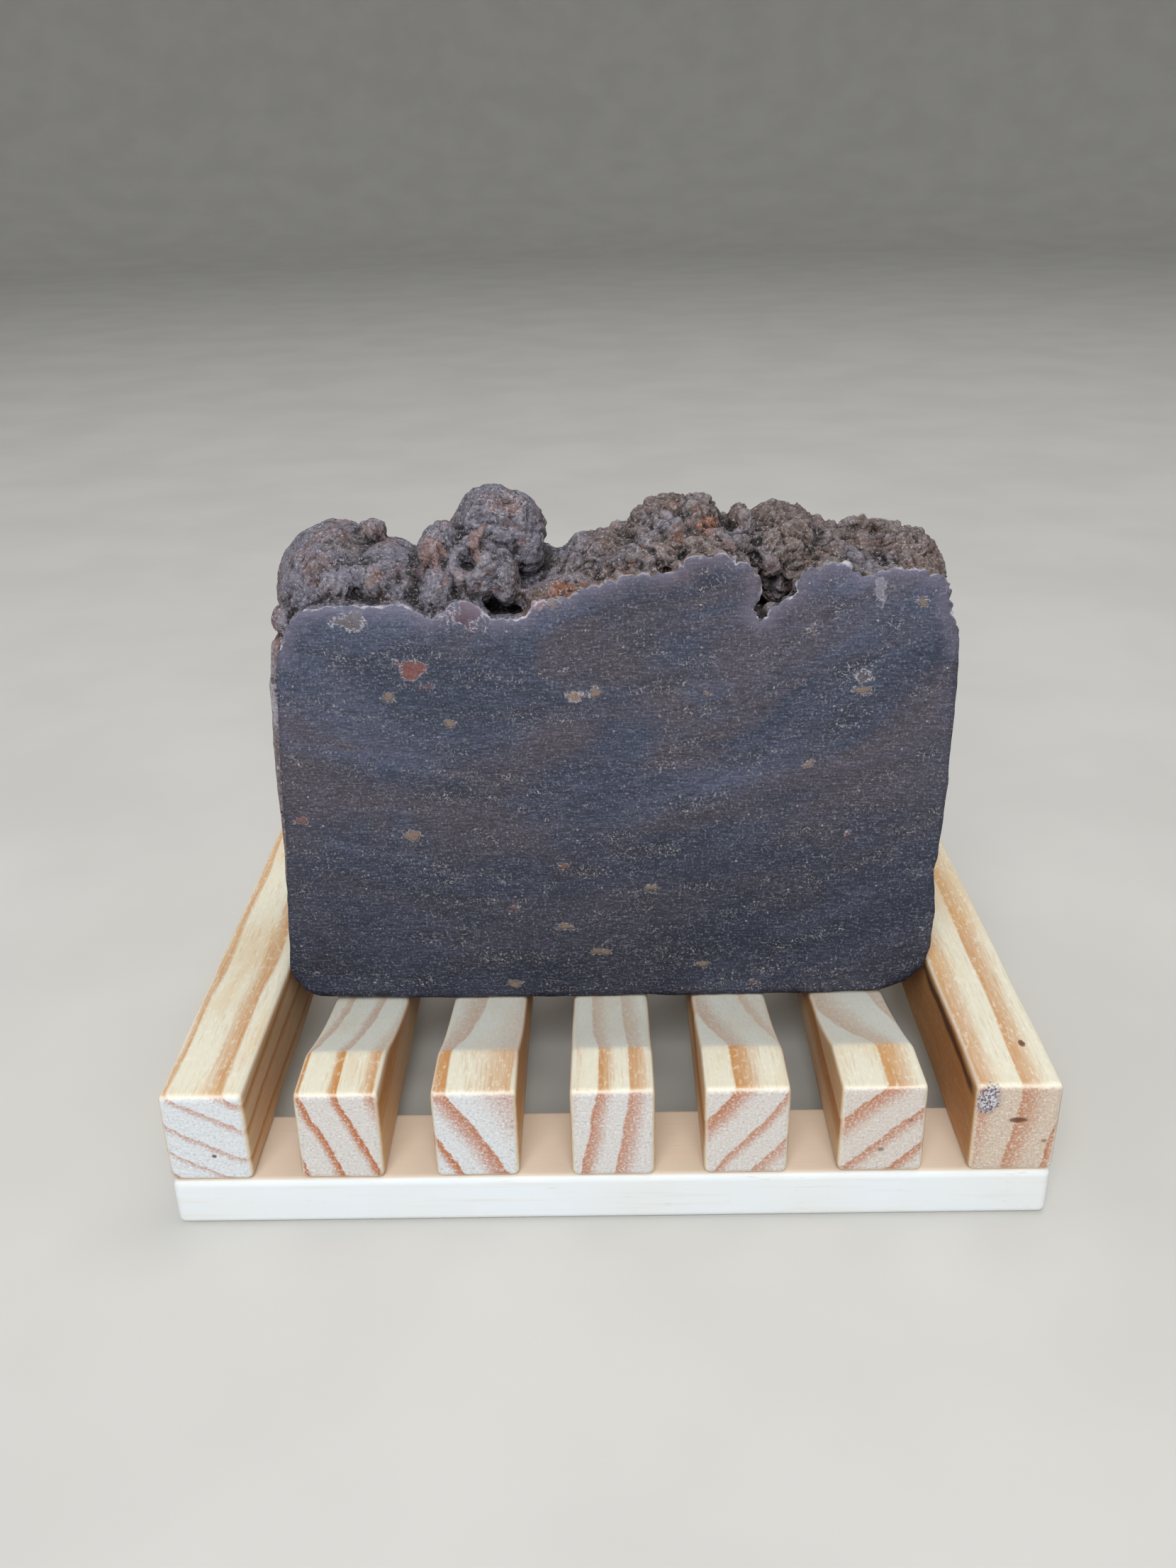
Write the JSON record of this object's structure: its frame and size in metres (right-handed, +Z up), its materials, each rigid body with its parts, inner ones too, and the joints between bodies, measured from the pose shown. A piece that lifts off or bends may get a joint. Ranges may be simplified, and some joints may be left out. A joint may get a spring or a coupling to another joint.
{
  "type": "slatted wooden soap dish with bar of soap",
  "caption": "Low wooden soap dish: scooped slats stapled to two cross rails, with a loaf-cut, rough-topped bar of soap standing in the trough between the straight end slats.",
  "frame": {"origin": "on the surface that the dish stands on, under the middle of the dish", "axes": "+X along the rails, +Y from the front to the back along the slats, +Z up"},
  "size_m": [0.11, 0.08, 0.0847],
  "materials": {
    "pine": "bare planed pine with strong growth rings, edges eased, end grain showing",
    "pale_wood": "bare, nearly white, fine-grained hardwood",
    "staple_wire": "galvanised flat wire",
    "soap": "cured cold-process soap: dull, wire-cut slate-grey faces, rough brown top"
  },
  "bodies": {
    "dish": {"slat_outer_left": "pine", "slat_scooped_1": "pine", "slat_scooped_2": "pine", "slat_scooped_3": "pine", "slat_scooped_4": "pine", "slat_scooped_5": "pine", "slat_outer_right": "pine", "rail_front": "pale_wood", "rail_rear": "pale_wood", "staple_front_1": "staple_wire", "staple_front_2": "staple_wire", "staple_front_3": "staple_wire", "staple_front_4": "staple_wire", "staple_front_5": "staple_wire", "staple_front_6": "staple_wire", "staple_front_7": "staple_wire", "staple_rear_1": "staple_wire", "staple_rear_2": "staple_wire", "staple_rear_3": "staple_wire", "staple_rear_4": "staple_wire", "staple_rear_5": "staple_wire", "staple_rear_6": "staple_wire", "staple_rear_7": "staple_wire"},
    "soap": {"soap_bar": "soap"}
  },
  "joints": [
    {"name": "soap_lift", "type": "slide", "parent": "dish", "child": "soap", "axis": [0, 0, 1], "range_m": [0, 0.08]}
  ]
}
